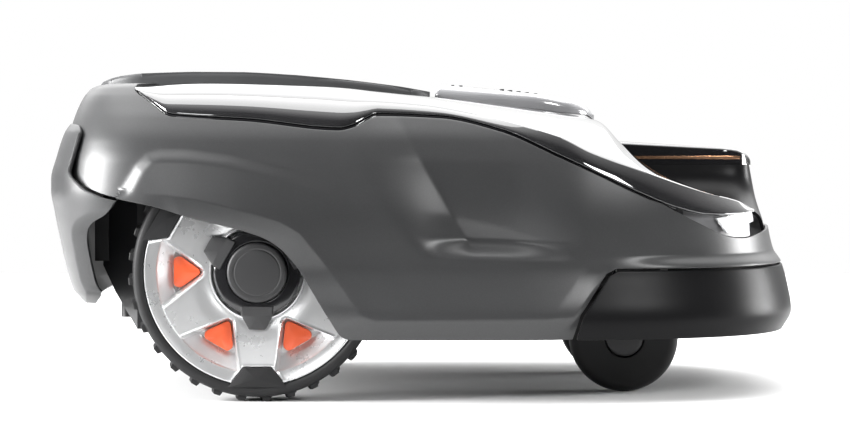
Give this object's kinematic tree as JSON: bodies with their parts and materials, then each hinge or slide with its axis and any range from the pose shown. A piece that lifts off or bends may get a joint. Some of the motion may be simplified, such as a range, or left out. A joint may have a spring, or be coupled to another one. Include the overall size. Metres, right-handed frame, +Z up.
{
  "type": "robotic lawn mower",
  "caption": "Four-wheeled robotic lawn mower with floating shell, lift-up keypad hatch, stop paddle, swivel casters and a height-adjustable disc of free-swinging blades.",
  "frame": {"origin": "on the ground under the middle of the mower's length and width", "axes": "+X towards the nose, +Y to the mower's left, +Z up"},
  "size_m": [0.72, 0.56, 0.3],
  "materials": {
    "shell_grey": "satin metallic grey moulded plastic",
    "wing_gloss": "high gloss dark grey plastic",
    "hatch_grey": "fine textured dark grey plastic",
    "deck_black": "matt dark plastic",
    "bumper_black": "soft black moulding",
    "chassis_black": "fine textured black plastic",
    "stop_paddle": "satin dark plastic",
    "contact_copper": "plated contact strip",
    "lens_clear": "clear polycarbonate",
    "lamp_white": "white reflector",
    "tyre_rubber": "black tread rubber",
    "rim_silver": "silver painted moulded plastic",
    "insert_orange": "orange plastic",
    "hub_black": "gloss black plastic",
    "steel": "turned steel",
    "blade_steel": "ground blade steel",
    "motor_black": "moulded motor housing",
    "battery_blue": "shrink-wrapped pack",
    "board_green": "circuit board",
    "soft_rubber": "moulded rubber",
    "key_grey": "moulded keys",
    "display_glass": "dark display window",
    "bearing_bronze": "sintered bronze"
  },
  "bodies": {
    "chassis": {"chassis_tub": "chassis_black", "chassis_lid": "chassis_black", "chassis_screws": "steel", "control_panel": "hatch_grey", "display_lens": "display_glass", "battery_pack": "battery_blue", "battery_cover": "chassis_black", "main_circuit_board": "board_green", "bump_posts": "soft_rubber", "caster_bushes": "bearing_bronze", "lift_motor": "motor_black", "drive_motors": "motor_black"},
    "float_carrier": {"float_frame": "chassis_black"},
    "sway_carrier": {"post_caps": "chassis_black"},
    "shell": {"body_shell": "shell_grey", "front_bumper": "bumper_black", "rear_apron": "shell_grey", "nose_pedestal": "bumper_black", "charging_cap": "hatch_grey", "charging_strips": "contact_copper", "top_deck": "deck_black", "shell_screws": "steel", "wing_seals": "soft_rubber", "hatch_hinge_pin": "steel", "stop_spring": "steel", "headlight_lenses": "lens_clear", "headlight_housings": "lamp_white", "right_wing_cover": "wing_gloss", "left_wing_cover": "wing_gloss"},
    "hatch": {"hatch_cover": "hatch_grey"},
    "stop_paddle": {"stop_button": "stop_paddle"},
    "right_wheel": {"right_rim": "rim_silver", "right_tyre": "tyre_rubber", "right_window_inserts": "insert_orange", "right_hub_cap": "hub_black", "right_axle": "steel"},
    "right_caster": {"right_caster_fork": "chassis_black"},
    "right_caster_roller": {"right_caster_wheel": "tyre_rubber", "right_caster_cap": "chassis_black"},
    "left_wheel": {"left_rim": "rim_silver", "left_tyre": "tyre_rubber", "left_window_inserts": "insert_orange", "left_hub_cap": "hub_black", "left_axle": "steel"},
    "left_caster": {"left_caster_fork": "chassis_black"},
    "left_caster_roller": {"left_caster_wheel": "tyre_rubber", "left_caster_cap": "chassis_black"},
    "cutting_carriage": {"cutting_motor": "motor_black"},
    "cutting_disc": {"blade_disc": "chassis_black", "blade_screws": "steel"},
    "skid": {"skid_plate": "chassis_black"},
    "blade_1": {"blade_1": "blade_steel"},
    "blade_2": {"blade_2": "blade_steel"},
    "blade_3": {"blade_3": "blade_steel"},
    "power_switch": {"main_switch": "key_grey"},
    "start_key_cap": {"start_key": "key_grey"},
    "ok_key_cap": {"ok_key": "key_grey"},
    "back_key_cap": {"back_key": "key_grey"},
    "up_key_cap": {"up_key": "key_grey"},
    "down_key_cap": {"down_key": "key_grey"}
  },
  "joints": [
    {"name": "shell_bump_x", "type": "slide", "parent": "chassis", "child": "float_carrier", "axis": [1, 0, 0], "range_m": [-0.008, 0.008], "stiffness_N_per_m": 2500},
    {"name": "shell_bump_y", "type": "slide", "parent": "float_carrier", "child": "sway_carrier", "axis": [0, 1, 0], "range_m": [-0.005, 0.005], "stiffness_N_per_m": 2500},
    {"name": "shell_lift", "type": "slide", "parent": "sway_carrier", "child": "shell", "axis": [0, 0, 1], "range_m": [0, 0.012]},
    {"name": "hatch_hinge", "type": "hinge", "parent": "shell", "child": "hatch", "pos_m": [-0.297, 0, 0.279], "axis": [0, -1, 0], "range_deg": [0, 70]},
    {"name": "stop_press", "type": "slide", "parent": "shell", "child": "stop_paddle", "axis": [0, 0, -1], "range_m": [0, 0.005], "stiffness_N_per_m": 900, "springref_m": -0.006, "deforming": ["stop_spring"]},
    {"name": "right_wheel_spin", "type": "hinge", "parent": "chassis", "child": "right_wheel", "pos_m": [-0.148, 0, 0.117], "axis": [0, 1, 0], "continuous": true},
    {"name": "right_caster_swivel", "type": "hinge", "parent": "chassis", "child": "right_caster", "pos_m": [0.216, -0.115, 0.11], "axis": [0, 0, 1], "continuous": true},
    {"name": "right_caster_roller_spin", "type": "hinge", "parent": "right_caster", "child": "right_caster_roller", "pos_m": [0.19, -0.115, 0.051], "axis": [0, 1, 0], "continuous": true},
    {"name": "left_wheel_spin", "type": "hinge", "parent": "chassis", "child": "left_wheel", "pos_m": [-0.148, 0, 0.117], "axis": [0, 1, 0], "continuous": true},
    {"name": "left_caster_swivel", "type": "hinge", "parent": "chassis", "child": "left_caster", "pos_m": [0.216, 0.115, 0.11], "axis": [0, 0, 1], "continuous": true},
    {"name": "left_caster_roller_spin", "type": "hinge", "parent": "left_caster", "child": "left_caster_roller", "pos_m": [0.19, 0.115, 0.051], "axis": [0, 1, 0], "continuous": true},
    {"name": "cutting_height", "type": "slide", "parent": "chassis", "child": "cutting_carriage", "axis": [0, 0, 1], "range_m": [-0.04, 0]},
    {"name": "disc_spin", "type": "hinge", "parent": "cutting_carriage", "child": "cutting_disc", "pos_m": [0.005, 0, 0.07], "axis": [0, 0, 1], "continuous": true},
    {"name": "skid_spin", "type": "hinge", "parent": "cutting_disc", "child": "skid", "pos_m": [0.005, 0, 0.05], "axis": [0, 0, 1], "continuous": true},
    {"name": "blade_1_swing", "type": "hinge", "parent": "cutting_disc", "child": "blade_1", "pos_m": [0.005, 0.096, 0.0595], "axis": [0, 0, 1], "continuous": true},
    {"name": "blade_2_swing", "type": "hinge", "parent": "cutting_disc", "child": "blade_2", "pos_m": [-0.07814, -0.048, 0.0595], "axis": [0, 0, 1], "continuous": true},
    {"name": "blade_3_swing", "type": "hinge", "parent": "cutting_disc", "child": "blade_3", "pos_m": [0.08814, -0.048, 0.0595], "axis": [0, 0, 1], "continuous": true},
    {"name": "power_switch_rock", "type": "hinge", "parent": "chassis", "child": "power_switch", "pos_m": [-0.294, 0, 0.15], "axis": [0, 1, 0], "range_deg": [-8, 8]},
    {"name": "start_key_press", "type": "slide", "parent": "chassis", "child": "start_key_cap", "axis": [0, 0, -1], "range_m": [0, 0.001], "stiffness_N_per_m": 600, "springref_m": -0.001},
    {"name": "ok_key_press", "type": "slide", "parent": "chassis", "child": "ok_key_cap", "axis": [0, 0, -1], "range_m": [0, 0.001], "stiffness_N_per_m": 600, "springref_m": -0.001},
    {"name": "back_key_press", "type": "slide", "parent": "chassis", "child": "back_key_cap", "axis": [0, 0, -1], "range_m": [0, 0.001], "stiffness_N_per_m": 600, "springref_m": -0.001},
    {"name": "up_key_press", "type": "slide", "parent": "chassis", "child": "up_key_cap", "axis": [0, 0, -1], "range_m": [0, 0.001], "stiffness_N_per_m": 600, "springref_m": -0.001},
    {"name": "down_key_press", "type": "slide", "parent": "chassis", "child": "down_key_cap", "axis": [0, 0, -1], "range_m": [0, 0.001], "stiffness_N_per_m": 600, "springref_m": -0.001}
  ]
}
